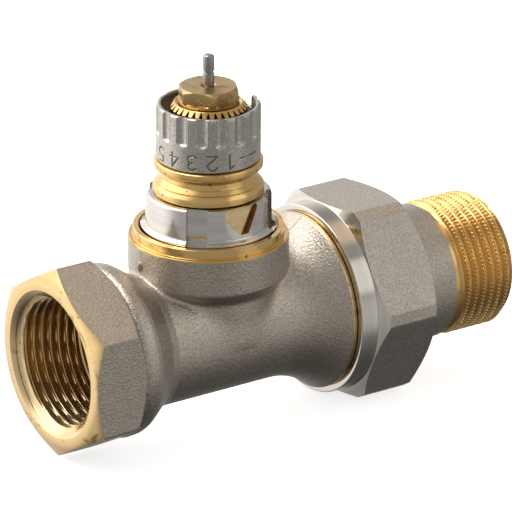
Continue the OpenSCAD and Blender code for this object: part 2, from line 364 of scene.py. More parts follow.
def blasted(name, tint, roughness, grain=0.8, parting=False):
    """Nickel plate over shot-blasted brass: round pits in two sizes, with faint cloudy patches. With parting,
    a bumped ridge along the parting line, its colour darkened as painted shade.
    """
    r = Recipe(name)
    coarse, fine, cloud = r.noise(2600, 2), r.noise(4200, 1), r.noise(110, 3)
    shade = r.mix(r.remap(cloud, 0.3, 0.7), [c * 0.93 for c in tint[:3]] + [1], tint)
    dark, light = ([c * share for c in tint[:3]] + [1] for share in (0.7, 1.22))
    grainy = r.mix(r.remap(coarse, 0.3, 0.7), dark, light)
    shade = r.mix(0.6, shade, grainy)
    height = coarse
    if parting:
        # parting line on top of the body: a real ridge bump, plus a painted dark line (painted shade of the
        # ridge's flank)
        parts = r.node("ShaderNodeSeparateXYZ", Vector=r.place).outputs
        seam_ridge_and_painted_shade = r.remap(r.math("ABSOLUTE", parts[1]), 0.00005, 0.00035, 1.0, 0.0)
        seam_ridge_and_painted_shade = r.math("MULTIPLY", seam_ridge_and_painted_shade, r.remap(parts[2], 0.011, 0.0125))
        # painted shade: base colour darkened along the parting ridge
        shade = r.mix(r.math("MULTIPLY", seam_ridge_and_painted_shade, 0.35), shade, [c * 0.45 for c in tint[:3]] + [1])
        height = r.math("ADD", height, r.math("MULTIPLY", seam_ridge_and_painted_shade, 0.9))
    normal = r.bump(height, grain, 0.00012, r.bump(fine, grain * 0.6, 0.00005))
    rough = r.remap(fine, 0.3, 0.7, roughness - 0.04, roughness + 0.06)
    return r.done(Base_Color=shade, Metallic=1.0, Roughness=rough, Normal=normal)


def turned(name, tint, roughness, axis, tarnish=0.0, marks=0.25, stain=colour(0.16, 0.075, 0.025)):
    """Lathe-turned metal: fine rings, with brown tarnish spots on bare brass."""
    r = Recipe(name)
    rings = r.noise(5200, 3, r.turning(axis))
    wide = r.noise(900, 2, r.turning(axis))
    shade = r.mix(r.remap(wide, 0.35, 0.65), [c * 0.88 for c in tint[:3]] + [1], tint)
    rough = r.remap(rings, 0.3, 0.7, roughness * 0.8, roughness * 1.3)
    if tarnish:
        film = r.remap(r.noise(160, 5, rough=0.65, distortion=0.6), 0.62 - 0.16 * tarnish, 0.72)
        spots = r.remap(r.noise(900, 4, rough=0.7), 0.66 - 0.08 * tarnish, 0.7)
        film = r.math("MAXIMUM", r.math("MULTIPLY", film, 0.75), spots)
        shade = r.mix(film, shade, stain)
        rough = r.math("ADD", rough, r.math("MULTIPLY", film, 0.2))
    return r.done(Base_Color=shade, Metallic=1.0, Roughness=rough, Normal=r.bump(rings, marks, 0.00002))


def rubber(name):
    r = Recipe(name)
    skin = r.noise(2500, 3)
    shade = r.mix(skin, colour(0.018, 0.018, 0.018), colour(0.035, 0.034, 0.033))
    return r.done(Base_Color=shade, Roughness=0.6, Normal=r.bump(skin, 0.3, 0.00003))


def plastic(name, dark, light, roughness):
    r = Recipe(name)
    shade = r.mix(r.noise(700, 4), dark, light)
    return r.done(Base_Color=shade, Roughness=roughness, Normal=r.bump(r.noise(3500, 2), 0.2, 0.00002))


NICKEL = colour(0.50, 0.445, 0.38)
BRASS = colour(0.80, 0.57, 0.27)

plated_body = blasted("plated_body", NICKEL, 0.38, parting=True)
plated_nut = blasted("plated_nut", colour(0.51, 0.465, 0.41), 0.4)
plated_tail = blasted("plated_tail", colour(0.49, 0.445, 0.385), 0.4)
polished_x = turned("polished_x", colour(0.62, 0.585, 0.53), 0.1, X, marks=0.15)
polished_z = turned("polished_z", colour(0.68, 0.65, 0.61), 0.15, Z, marks=0.12)
satin_z = blasted("satin_z", colour(0.53, 0.505, 0.46), 0.32, 0.35)
engraved = turned("engraved", colour(0.22, 0.205, 0.18), 0.5, Z)
brass_x = turned("brass_x", BRASS, 0.2, X, tarnish=0.35)
brass_thread = turned("brass_thread", colour(0.80, 0.52, 0.20), 0.2, X, tarnish=0.15)
inlet_brass = turned("inlet_brass", colour(0.78, 0.60, 0.34), 0.2, X, tarnish=0.3,
                     stain=colour(0.15, 0.085, 0.035))
brass_z = turned("brass_z", colour(0.82, 0.55, 0.22), 0.13, Z, tarnish=0.35)
aged_brass = turned("aged_brass", colour(0.52, 0.36, 0.16), 0.27, Z, tarnish=1.0)
notch_brass = turned("notch_brass", colour(0.85, 0.66, 0.36), 0.42, Z, tarnish=0.1)
# dark brown brass for the notch floor: painted shade of the deep part of the notch
notch_painted_shade = turned("notch_painted_shade", colour(0.30, 0.18, 0.08), 0.45, Z)
steel = turned("steel", colour(0.38, 0.365, 0.34), 0.25, Z)
black_rubber = rubber("black_rubber")
dark_plastic = plastic("dark_plastic", colour(0.02, 0.02, 0.02), colour(0.05, 0.05, 0.05), 0.45)
white_plastic = plastic("white_plastic", colour(0.74, 0.74, 0.70), colour(0.84, 0.84, 0.81), 0.35)


# ---------------------------------------------------------------- forged body

def flare_points():
    """The flare from the barrel to the union, one arc that starts along the barrel."""
    rise, run = FLARE_R - BARREL_R, FLARE_END - FLARE_START
    radius = (run * run + rise * rise) / (2 * rise)
    return arc((FLARE_START, BARREL_R + radius), radius, -90, -90 + math.degrees(math.asin(run / radius)))


PIPE_OUTLINE = np.array(
    [(-2, 15.0), (10.3, 15.0), (11.1, 16.3), (11.8, 16.5), (13.5, 16.4), (14.5, 16.05), (16.05, 15.0),
     (18.6, 13.2), (20.4, BARREL_R)] + flare_points()
    + [(FLARE_EDGE, FLARE_R), (FLARE_EDGE + 0.3, UNION_CREST + 0.4), (BODY_END + 2, UNION_CREST + 0.4)])
NECK_OUTLINE = np.array(
    [(-1, 12.2), (1, 12.6), (2.5, 12.7), (8.6, 12.7), (9.1, 12.85), (9.5, 13.15), (11.1, 14.75),
     (11.4, 14.95), (11.8, NECK_R), (22, NECK_R)])


def profile_distance(outline, along, radius):
    """Distance outside a turned profile, taken square to its slope."""
    fine = np.linspace(outline[0, 0], outline[-1, 0], 1200)
    height = np.interp(fine, outline[:, 0], outline[:, 1])
    slope = np.interp(along, fine, np.gradient(height, fine))
    return (radius - np.interp(along, fine, height)) / np.sqrt(1 + slope * slope)


def forging(p):
    """Distance outside the forging: hexagon, pipe and neck, blended where they meet."""
    x, y, z = p[..., 0], p[..., 1], p[..., 2]
    radius = np.hypot(y, z)
    flats = [np.abs(y), np.abs(0.5 * y + 0.8660254 * z), np.abs(0.5 * y - 0.8660254 * z)]
    hexed = soft_most(soft_most(flats[0], flats[1], 0.3), flats[2], 0.3) - INLET_AF / 2
    rear = ((x - 9.2) + 0.71 * (radius - 18.5)) / math.hypot(1, 0.71)
    hexed = soft_most(hexed, rear, 0.2)
    pipe = profile_distance(PIPE_OUTLINE, x, radius)
    spindle = np.hypot(x - NECK_X, y)
    neck = profile_distance(NECK_OUTLINE, z, spindle)
    neck = soft_most(neck, -z, 0.5)
    whole = soft_least(soft_least(hexed, pipe, 0.25), neck, 1.0)
    pip = np.sqrt((x - NECK_X + 15.1) ** 2 + y * y + np.maximum(np.abs(z - 15.0) - 0.4, 0) ** 2) - 0.5
    whole = soft_least(whole, pip, 0.3)
    ends = np.maximum(np.maximum(-1.5 - x, x - BODY_END), z - NECK_TOP - 1)
    return np.maximum(whole, ends)


def surface_net(distance, low, high, step):
    """A closed mesh of the zero level of a distance function, one point in each cell that it crosses."""
    axes = [np.arange(low[i], high[i] + step, step) for i in range(3)]
    field = np.concatenate([
        distance(np.stack(np.meshgrid(part, axes[1], axes[2], indexing="ij"), -1))
        for part in np.array_split(axes[0], 12)])
    inside = field < 0
    corners = [(i, j, k) for i in (0, 1) for j in (0, 1) for k in (0, 1)]
    size = [n - 1 for n in field.shape]
    total = sum(inside[i:i + size[0], j:j + size[1], k:k + size[2]].astype(np.int8) for i, j, k in corners)
    cells = np.argwhere((total > 0) & (total < 8))
    number = np.full(size, -1, np.int64)
    number[tuple(cells.T)] = np.arange(len(cells))
    points, hits = np.zeros((len(cells), 3)), np.zeros(len(cells))
    for a in corners:
        for axis in range(3):
            if a[axis]:
                continue
            b = tuple(v + (i == axis) for i, v in enumerate(a))
            fa, fb = (field[tuple((cells + c).T)] for c in (a, b))
            crossed = (fa < 0) != (fb < 0)
            share = np.where(crossed, fa / np.where(crossed, fa - fb, 1), 0)
            where = np.array(a, float) + share[:, None] * np.eye(3)[axis]
            points += where * crossed[:, None]
            hits += crossed
    points = (cells + points / hits[:, None]) * step + low
    faces = []
    for axis in range(3):
        one, two = (axis + 1) % 3, (axis + 2) % 3
        ahead = np.take(inside, range(1, field.shape[axis]), axis)
        behind = np.take(inside, range(field.shape[axis] - 1), axis)
        at = np.argwhere(ahead != behind)
        around = []
        for p, q in ((-1, -1), (0, -1), (0, 0), (-1, 0)):
            cell = at.copy()
            cell[:, one] += p
            cell[:, two] += q
            around.append(number[tuple(cell.T)])
        quad = np.stack(around, -1)
        flip = ahead[tuple(at.T)]
        quad[flip] = quad[flip][:, ::-1]
        faces.append(quad)
    for _ in range(2):
        value, nudge = distance(points), 0.01
        slope = np.stack([(distance(points + nudge * np.eye(3)[i]) - value) / nudge for i in range(3)], -1)
        move = value[:, None] * slope / np.maximum((slope * slope).sum(-1), 0.25)[:, None]
        points -= np.clip(move, -0.4 * step, 0.4 * step)
    return points, np.concatenate(faces)


def inlet_socket():
    """What the inlet leaves empty: chamfered mouth, internal thread and the start of the waterway."""
    outline = np.array([(-3, 0), (-3, MOUTH_R), (0, MOUTH_R), (0.45, 13.3), (1.5, INLET_MINOR),
                        (SOCKET_END, INLET_MINOR), (SOCKET_END + 1.5, WATERWAY_R), (22, WATERWAY_R), (22, 0)])
    outline = divided(outline, 0.1, 0.4, SOCKET_END, closed=False)

    def threaded(along, radius, angle):
        root = INLET_MINOR + (INLET_MAJOR - INLET_MINOR) * (1 - fade(along, 13, 14.2))
        wall = thread(along, angle, PIPE_PITCH, root, INLET_MINOR)
        return along, np.where((along > 0.4) & (along < SOCKET_END), np.maximum(radius, wall), radius)

    points, faces = sweep(outline, 240, X, threaded, closed=False)
    return build("socket", points, faces, [inlet_brass])


def turned_tool(name, points, axis, material, closed=True, columns=240):
    outline = np.array([p[:2] for p in points], float)
    return build(name, *sweep(outline, columns, axis, closed=closed), [material])


def rod(name, radius, start, end, axis, material, lift=0.0):
    outline = [(start, 0), (start, radius), (end, radius), (end, 0)]
    tool = turned_tool(name, outline, axis, material, closed=False, columns=96)
    tool.data.transform(Matrix.Translation((0, 0, lift * MM)))
    return tool


def union_thread_tool():
    """The ring outside the union thread."""
    outline = np.array([(FLARE_EDGE, 19), (FLARE_EDGE, UNION_ROOT), (FLARE_EDGE + 0.9, UNION_ROOT),
                        (BODY_END - 1.3, UNION_ROOT), (BODY_END + 0.5, UNION_ROOT - 1.6),
                        (BODY_END + 0.5, 19)])
    outline = divided(outline, 0.12, FLARE_EDGE + 0.9, BODY_END - 1.3)

    def threaded(along, radius, angle):
        grown = fade(along, FLARE_EDGE + 0.9, FLARE_EDGE + 1.6)
        grown = grown * (1 - fade(along, BODY_END - 1.6, BODY_END - 1.3))
        wave = thread(along, angle, UNION_PITCH, UNION_ROOT, UNION_ROOT + (UNION_CREST - UNION_ROOT) * grown)
        wall = (radius < 18) & (along <= BODY_END - 1.29)
        return along, np.where(wall, np.maximum(radius, wave), radius)

    return build("union_tool", *sweep(outline, 240, X, threaded), [brass_x])


def valve_body():
    low = np.array([-2.2, -19.2, -19.2])
    high = np.array([BODY_END + 0.7, 19.2, NECK_TOP + 1.7])
    body = build("forged_body", *surface_net(forging, low, high, 0.3), [plated_body])
    face = [(-4, 14.5), (-4, 24), (4.67, 24), (0, 15.9), (0, 14.5)]
    cutters = [
        turned_tool("front_tool", face, X, brass_x),
        turned_tool("face_tool", [(-4, 0), (-4, 20), (0, 20), (0, 0)], X, brass_x, False),
        inlet_socket(),
        union_thread_tool(),
        turned_tool("flare_tool", [(FLARE_END + 0.1, 19), (FLARE_END + 0.1, FLARE_R - 0.16),
                                   (FLARE_EDGE - 0.12, FLARE_R - 0.16), (FLARE_EDGE + 0.02, FLARE_R - 0.3),
                                   (FLARE_EDGE + 0.02, 19)], X, brass_x),
        turned_tool("rim_tool", [(18.24, 17), (18.24, 14.96), (18.52, 14.96), (NECK_LEDGE, 14.86),
                                 (NECK_LEDGE, 14.2), (18.72, RIM_R), (NECK_TOP - 0.12, RIM_R),
                                 (NECK_TOP, RIM_R - 0.12), (NECK_TOP, 12), (24, 12), (24, 17)], Z, brass_z),
        turned_tool("counterbore_tool", [(COUNTERBORE_Z, 0), (COUNTERBORE_Z, COUNTERBORE_R),
                                         (NECK_TOP - 0.1, COUNTERBORE_R),
                                         (NECK_TOP + 0.1, COUNTERBORE_R + 0.2),
                                         (24, COUNTERBORE_R + 0.2), (24, 0)], Z, brass_z, False),
        rod("bonnet_bore", COLLAR_BORE, 10, 20, Z, brass_z),
        rod("chamber", CHAMBER_R, 1.5, 11, Z, brass_z),
        rod("seat_bore", SEAT_R, PASSAGE_Z, 3, Z, brass_z),
        rod("inlet_passage", PASSAGE_R, 21, NECK_X + 6.5, X, inlet_brass, PASSAGE_Z),
        rod("outlet_window", WINDOW_R, NECK_X + 6, 47, X, brass_x, WINDOW_Z),
        rod("outlet_waterway", WATERWAY_R, 46.5, 65, X, brass_x),
        rod("tail_socket", TAIL_SOCKET_R, 64, BODY_END + 1, X, brass_x),
    ]
    return cut(body, cutters)


fit_in(valve_body(), "valve", "plated_body", "valve_body")


# ---------------------------------------------------------------- collar and bonnet

def block(name, corners, material):
    """A solid with flat sides between two outlines of three or four corners each."""
    count = len(corners) // 2
    sides = [[i, (i + 1) % count, (i + 1) % count + count, i + count] for i in range(count)]
    ends = [list(range(count))[::-1], list(range(count, 2 * count))]
    faces = np.array([f + [f[-1]] * (4 - len(f)) for f in sides + ends])
    return build(name, np.array(corners, float), faces, [material])


def round_spindle(turn, outward, across, up):
    """A point near the spindle axis: its distance out at an angle in degrees, its offset and its height."""
    t = math.radians(turn)
    return (NECK_X + outward * math.sin(t) + across * math.cos(t),
            -outward * math.cos(t) + across * math.sin(t), up)


def slot_tool(turn):
    half, inner, outer = SLOT_WIDTH / 2, COLLAR_R - SLOT_DEPTH, COLLAR_R + 3
    ring = [(inner, -half), (outer, -half), (outer, half), (inner, half)]
    corners = [round_spindle(turn, *p, up) for up in (NECK_TOP, COLLAR_TOP + 1) for p in ring]
    return block("slot_tool", corners, polished_z)


def notch_section(half, up):
    """Across the notch at one height: a shallow left side, a steeper floor and an upright right side."""
    edge = math.sqrt(COLLAR_R ** 2 - half ** 2)
    shelf, foot = (COLLAR_R - 0.45 * NOTCH_DEPTH, half - 1.3), (COLLAR_R - NOTCH_DEPTH, half)
    beyond = (edge + 0.5 * (edge - shelf[0]), -half - 0.5 * (shelf[1] + half))
    return [round_spindle(NOTCH_TURN, *p, up) for p in (beyond, shelf, foot, (COLLAR_R + 2, half))]


def notch_tool():
    """A V-shaped reference notch with a blunt tip. Its floor is browner and darker than its sides: painted
    shade.
    """
    grow = (COLLAR_TOP + 1 - NOTCH_TIP) / (COLLAR_TOP - NOTCH_TIP)
    top_half = NOTCH_TIP_HALF + (NOTCH_HALF - NOTCH_TIP_HALF) * grow
    tip, top = notch_section(NOTCH_TIP_HALF, NOTCH_TIP), notch_section(top_half, COLLAR_TOP + 1)
    tool = block("notch_tool", tip + top, notch_brass)
    tool.data.materials.append(notch_painted_shade)
    tool.data.materials.append(brass_z)
    # facet 1, the notch floor, gets the dark brown painted shade; facet 2 gets polished brass
    tool.data.polygons[1].material_index, tool.data.polygons[2].material_index = 1, 2
    return tool


def sensor_collar():
    outline = rounded([(COUNTERBORE_Z, COLLAR_BORE), (COUNTERBORE_Z, FLANGE_R, 0.1),
                       (FLANGE_TOP - 0.35, FLANGE_R, 0.15),
                       (FLANGE_TOP, COLLAR_R, 0.5), (COLLAR_TOP, COLLAR_R, 0.9), (COLLAR_TOP, 10.3, 0.2),
                       (COLLAR_TOP - 0.3, COLLAR_BORE)], 6)
    collar = build("clip_collar", *sweep(outline, 288, Z), [polished_z])
    return cut(collar, [slot_tool(SLOT_TURN + 90 * k) for k in range(4)] + [notch_tool()])


def bonnet():
    outline = rounded([(10.2, 6.45), (10.2, 9.6), (27.25, 9.6), (27.25, 10.2, 0.1), (27.45, 10.4, 0.1),
                       (28.55, 10.35, 0.15), (29.2, 9.85, 0.06), (29.3, 9.6, 0.05), (29.42, 9.72, 0.06),
                       (30.3, 8.85, 0.4), (31.4, 8.7, 0.5), (32.0, 9.7, 0.2), (32.3, 10.2, 0.3),
                       (33.55, 10.2, 0.35), (33.7, 9.6), (33.7, 6.45)], 5)
    return build("bonnet_insert", *sweep(outline, 200, Z), [brass_z])


fit_in(sensor_collar(), "valve", "polished_nickel", "sensor_collar")
fit_in(bonnet(), "valve", "machined_brass", "bonnet")


# ---------------------------------------------------------------- setting ring

def bow(x, y, wide, tall, start, end, steps=14):
    turns = np.radians(np.linspace(start, end, steps + 1))
    return [(x + wide * math.cos(t), y + tall * math.sin(t)) for t in turns]


# strokes of the numerals in a box 0.6 wide and 1 tall
NUMERALS = [
    [[(0.2, 0.8), (0.46, 1.0), (0.46, 0.0)]],
    [bow(0.3, 0.73, 0.27, 0.27, 165, -35) + [(0.03, 0.0), (0.6, 0.0)]],
    [bow(0.29, 0.76, 0.24, 0.24, 150, -90) + bow(0.29, 0.27, 0.28, 0.27, 90, -150)],
    [[(0.45, 0.0), (0.45, 1.0), (0.02, 0.3), (0.62, 0.3)]],
    [[(0.54, 1.0), (0.12, 1.0), (0.08, 0.56)] + bow(0.28, 0.31, 0.29, 0.31, 125, -145)],
    [bow(0.3, 0.29, 0.27, 0.29, 0, 360, 22), bow(0.72, 0.3, 0.69, 0.72, 180, 112)],
    [[(0.02, 1.0), (0.6, 1.0), (0.24, 0.0)]],
    [bow(0.3, 0.5, 0.16, 0.16, 0, 360, 16)],
]


def engraved_strokes():
    """Every engraved line on the ring as start and end points (arc length, height)."""
    lines = []
    for i, numeral in enumerate(NUMERALS):
        centre = math.radians(DIGIT_ONE + DIGIT_STEP * i) * RING_R
        for stroke in numeral:
            path = [(centre - (u - 0.3) * DIGIT_WIDTH, DIGIT_TOP - v * DIGIT_HEIGHT) for u, v in stroke]
            lines += list(zip(path[:-1], path[1:]))
    for start, end in ((4, 10.5), (17, 30)):
        lines.append(((math.radians(start) * RING_R, 36.2), (math.radians(end) * RING_R, 36.2)))
    return lines


def from_strokes(across, up):
    """Distance to the nearest engraved line."""
    nearest = np.full(across.shape, 9.0)
    for (x0, z0), (x1, z1) in engraved_strokes():
        dx, dz = x1 - x0, z1 - z0
        t = np.clip(((across - x0) * dx + (up - z0) * dz) / (dx * dx + dz * dz), 0, 1)
        nearest = np.minimum(nearest, np.hypot(across - x0 - t * dx, up - z0 - t * dz))
    return nearest


def ring_shape(along, radius, angle):
    turn = (np.degrees(angle) + 180) % 360 - 180
    outer = radius > RIM_BORE + 0.12
    from_flute = np.radians((turn - FLUTE_TURN + 180 / FLUTES) % (360 / FLUTES) - 180 / FLUTES)
    centre = RING_R - FLUTE_DEPTH + FLUTE_R
    inner = FLUTE_R ** 2 - (centre * np.sin(from_flute)) ** 2
    end_slope = np.maximum(FLUTE_END + FLUTE_DEPTH - along, 0)
    flute = centre * np.cos(from_flute) - np.sqrt(np.maximum(inner, 0)) + end_slope
    flute = np.where(inner > 0, flute, RING_R + 1)
    carved = soft_least(radius, flute, 0.05)
    stroke = from_strokes(turn * np.pi / 180 * RING_R, along)
    carved = carved - STROKE_DEPTH * (1 - fade(stroke, STROKE_HALF - 0.07, STROKE_HALF + 0.05))
    new_radius = np.where(outer, carved, radius)
    dip = 2.4 * fade(turn, 81.6, 82.0) * (1 - np.clip((turn - 106) / 13.4, 0, 1))
    above = along > RIM_FLOOR + 0.5
    squeeze = (RING_TOP - RIM_FLOOR - 0.5 - dip) / (RING_TOP - RIM_FLOOR - 0.5)
    return np.where(above, RIM_FLOOR + 0.5 + (along - RIM_FLOOR - 0.5) * squeeze, along), new_radius


def setting_ring():
    outline = rounded([(RING_BOTTOM, RING_BORE), (RING_BOTTOM, RING_R, 0.3), (RING_TOP, RING_R, 0.45),
                       (RING_TOP, RIM_BORE, 0.2), (RIM_FLOOR, RIM_BORE, 0.2), (RIM_FLOOR, RING_BORE, 0.1)], 5)
    outline = divided(outline, 0.075, RING_BOTTOM + 0.2, 60)
    outer = outline[:, 1] > RIM_BORE + 0.3
    keep = np.ones(len(outline), bool)
    keep[~outer] = np.arange((~outer).sum()) % 4 == 0
    keep[outer & (outline[:, 0] > 38)] = np.arange((outer & (outline[:, 0] > 38)).sum()) % 2 == 0
    corners = np.isclose(outline[:, 0], RING_BOTTOM) | np.isclose(outline[:, 0], RIM_FLOOR)
    outline = outline[keep | corners]
    columns = np.concatenate([np.arange(-180, 27, 0.42), np.arange(27, 180, 0.7)])
    points, faces = sweep(outline, columns, Z, ring_shape)

    def pick(x, y, z):
        turn = np.arctan2(x - NECK_X, -y)
        cut_line = from_strokes(turn * RING_R, z) < STROKE_HALF
        return (cut_line & (np.hypot(x - NECK_X, y) > RIM_BORE + 0.3)).astype(int)

    return build("setting_ring_fluted", points, faces, [satin_z, engraved], pick, 40)


fit_in(setting_ring(), "ring", "satin_nickel", "setting_ring")


# ---------------------------------------------------------------- sleeve, gland and pin

def setting_sleeve():
    head = 34
    top = SLEEVE_TOP + 0.04
    outline = rounded([(SLEEVE_BOTTOM, 2.06), (SLEEVE_BOTTOM, 5.0, 0.2), (12.3, 5.0), (12.3, 6.4, 0.1),
                       (head, 6.4),
                       (head, 7.2, 0.1), (top - 0.95, 7.2, 0.12), (top, 6.28, 0.1), (top - 0.15, 5.7, 0.1),
                       (top - 0.45, 4.65), (SLEEVE_LEDGE, 4.65), (SLEEVE_LEDGE, 2.06)], 4)
    outline = divided(outline, 0.14, top - 1.4, top)

    def toothed(along, radius, angle):
        share = np.abs((angle * 32 / (2 * np.pi)) % 1 - 0.5) * 2
        gap = 7.25 - 0.95 * fade(share, 0.4, 0.95)
        return along, np.where((along > head - 0.01) & (radius > 6.2), soft_least(radius, gap, 0.05), radius)

    return build("setting_sleeve_toothed", *sweep(outline, 32 * 16, Z, toothed), [brass_z])


def gland():
    outline = rounded([(GLAND_BOTTOM, 1.12), (GLAND_BOTTOM, 4.55, 0.2), (44.6, 4.55), (44.6, 5.6, 0.1),
                       (45.15, 5.6, 0.15), (45.3, 6.6), (GLAND_TOP, 6.6), (GLAND_TOP, 1.5, 0.3),
                       (GLAND_TOP - 0.4, 1.12)], 4)
    outline = divided(outline, 0.12, 45.25, GLAND_TOP)

    def hexed(along, radius, angle):
        wall = hexagon(angle, GLAND_AF, GLAND_TURN)
        crown = 5.2 + (GLAND_TOP - along) * 1.5
        limit = soft_least(soft_least(wall, crown, 0.25), 5.6 + (along - 45.15) * 3, 0.1)
        flank = (along > 45.2) & (radius > 4.6)
        return along, np.where(flank, np.minimum(radius, limit), radius)

    return build("gland_screw", *sweep(outline, 180, Z, hexed), [aged_brass])


def pressure_pin():
    outline = rounded([(PIN_BOTTOM, 0), (PIN_BOTTOM, 1.9, 0.15), (PIN_BOTTOM + 1.5, 1.9, 0.15),
                       (PIN_BOTTOM + 1.5, 1.07),
                       (50.1, 1.07, 0.04), (50.2, 0.88, 0.04), (50.5, 0.88, 0.04), (50.6, 1.07, 0.04),
                       (PIN_TOP, 1.07, 0.7), (PIN_TOP, 0)], 6)
    return build("pressure_pin_ground", *sweep(outline, 64, Z, closed=False), [steel])


def return_spring():
    """Wire coiled with a closed turn at each end, between the sleeve's ledge and the spring cup."""
    low, high = span("return_spring", Z)
    radius = (span("return_spring", Y)[1] - span("return_spring", Y)[0]) / 2 - 0.45
    wire, turns, sides = 0.44, 7.5, 14
    t = np.linspace(0, 1, int(turns * 48) + 1)
    lift = np.where(t * turns < 1, t * turns * 2 * wire, 0)
    end = turns - 1
    free = (high - low - 2 * wire) - 4 * wire
    middle = (t * turns >= 1) & (t * turns <= end)
    lift = np.where(middle, 2 * wire + (t * turns - 1) / (turns - 2) * free, lift)
    lift = np.where(t * turns > end, 2 * wire + free + (t * turns - end) * 2 * wire, lift)
    a, b = np.meshgrid(t * turns * 2 * np.pi, np.arange(sides) * 2 * np.pi / sides, indexing="ij")
    out = radius + wire * np.cos(b)
    points = place(Z, low + wire + lift[:, None] + wire * np.sin(b), out, a).reshape(-1, 3)
    index = np.arange(len(points)).reshape(len(t), sides)
    beside = np.roll(index, -1, 1)
    skin = np.stack([index[:-1], beside[:-1], beside[1:], index[1:]], -1).reshape(-1, 4)
    caps = []
    for row in (index[0][::-1], index[-1]):
        caps += [[row[0], row[i], row[i + 1], row[i + 1]] for i in range(1, sides - 1)]
    return build("return_spring_coil", points, np.concatenate([skin, caps]), [steel])


fit_in(setting_sleeve(), "setter", "machined_brass", "setting_sleeve")
fit_in(gland(), "setter", "aged_brass", "gland")
fit_in(pressure_pin(), "stem", "stainless_steel", "pressure_pin")
coil = fit_in(return_spring(), "stem", "stainless_steel", "return_spring")
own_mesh(coil)


# ---------------------------------------------------------------- union nut and tail

def union_nut():
    outline = rounded([(NUT_FRONT, 16.9, 0.1), (NUT_FRONT, NUT_COLLAR_R, 0.25),
                       (NUT_COLLAR_END, NUT_COLLAR_R, 0.1),
                       (NUT_COLLAR_END, 22), (NUT_END, 22), (NUT_END, TAIL_R + 0.05, 0.15),
                       (NUT_SHOULDER, TAIL_R + 0.05), (NUT_SHOULDER, UNION_ROOT + THREAD_GAP),
                       (NUT_FRONT + 0.8, UNION_ROOT + THREAD_GAP)], 4)
    outer = divided(outline, 0.45, NUT_COLLAR_END, NUT_END)
    outline = np.concatenate([outer[:-1], divided(np.array([(NUT_SHOULDER, UNION_ROOT + THREAD_GAP),
                                                            (NUT_FRONT + 0.8, UNION_ROOT + THREAD_GAP)]),
                                                  0.14, closed=False)])
    keep = [0]
    for i in range(1, len(outline)):
        if np.linalg.norm(outline[i] - outline[keep[-1]]) > 1e-4:
            keep.append(i)
    outline = outline[keep]

    def formed(along, radius, angle):
        wall = hexagon(angle, NUT_AF, NUT_TURN)
        wall = soft_least(wall, hexagon(angle, NUT_TRUNCATED, NUT_TURN + 30), 0.08)
        flank = (along > NUT_COLLAR_END - 0.01) & (radius > 18.4)
        inner = (radius < 15.6) & (radius > 15)
        grown = (1 - fade(along, NUT_SHOULDER - 1.2, NUT_SHOULDER - 0.4))
        crest = UNION_ROOT + THREAD_GAP + (UNION_CREST - UNION_ROOT) * grown
        wave = thread(along, angle, UNION_PITCH, UNION_ROOT + THREAD_GAP, crest)
        bore = np.where(inner, np.maximum(radius, wave), radius)
        return along, np.where(flank, np.minimum(radius, wall), bore)

    columns = np.arange(0, 360, 0.6) + NUT_TURN
    nut = build("union_nut_hex", *sweep(outline, columns, X, formed), [plated_nut, brass_x, polished_x],
                lambda x, y, z: np.where(np.hypot(y, z) < 17.3, 1, np.where(x < NUT_COLLAR_END + 0.02, 2, 0)))
    front = [(NUT_COLLAR_END - 0.02, NUT_COLLAR_R + 0.02), (NUT_COLLAR_END + 2.2, NUT_COLLAR_R + 4.4),
             (NUT_COLLAR_END - 0.02, NUT_COLLAR_R + 4.4)]
    rear = [(NUT_END + 0.02, 18.2), (NUT_END + 0.02, 23), (NUT_END - 2.3, 23), (NUT_END - 2.3, 22.1)]
    return cut(nut, [turned_tool("nut_front_tool", front, X, polished_x, columns=360),
                     turned_tool("nut_rear_tool", rear, X, plated_nut, columns=360)])


def tailpiece():
    start = TAIL_START
    outline = rounded([(start, 9.5), (start, 12.05), (start + 0.4, 12.45), (66, 12.45, 0.1), (66, 11.4, 0.1),
                       (67.3, 11.4, 0.1), (67.3, 12.45, 0.1), (69.2, 12.45), (69.2, 15.1, 0.15),
                       (NUT_SHOULDER - 0.05, 15.1, 0.15), (NUT_SHOULDER - 0.05, TAIL_R, 0.1),
                       (TAIL_GROOVE, TAIL_R, 0.12), (TAIL_GROOVE + 0.25, 12.5, 0.15), (TAIL_THREAD, 12.5, 0.1),
                       (TAIL_THREAD + 0.05, TAIL_ROOT), (TAIL_END - 0.7, TAIL_ROOT), (TAIL_END, 11.6),
                       (TAIL_END, WATERWAY_R, 0.4)], 4)
    outline = divided(outline, 0.1, TAIL_THREAD + 0.04, TAIL_END)
    outline = outline[(outline[:, 1] > WATERWAY_R + 0.05) | (np.arange(len(outline)) % 4 == 0)
                      | (outline[:, 0] < TAIL_THREAD)]

    def threaded(along, radius, angle):
        wave = thread(along, angle, PIPE_PITCH, TAIL_ROOT, TAIL_CREST)
        high = fade(wave, TAIL_ROOT + 0.6, TAIL_CREST)
        notch = fade(np.cos(angle * 100), -0.1, 0.7)
        wave = wave - 0.22 * notch * high
        limit = np.minimum(12.4 + (along - TAIL_THREAD) * 0.9, 12.0 + (TAIL_END - along) * 0.9)
        cut_r = np.minimum(wave, limit)
        zone = (along > TAIL_THREAD + 0.04) & (radius > 11) & (along < TAIL_END - 0.01)
        return along, np.where(zone, np.maximum(np.minimum(radius, limit), cut_r), radius)

    return build("tailpiece_threaded", *sweep(outline, 800, X, threaded), [plated_tail, brass_thread, brass_x],
                 lambda x, y, z: np.where((x > NUT_SHOULDER - 0.1) & (x < TAIL_GROOVE)
                                          & (np.hypot(y, z) > 11), 0, np.where(x > TAIL_GROOVE, 1, 2)), 40)


fit_in(union_nut(), "nut", "plated_nut", "union_nut")
fit_in(tailpiece(), "tail", "tail_metal", "tailpiece")


# ---------------------------------------------------------------- inner CAD pieces

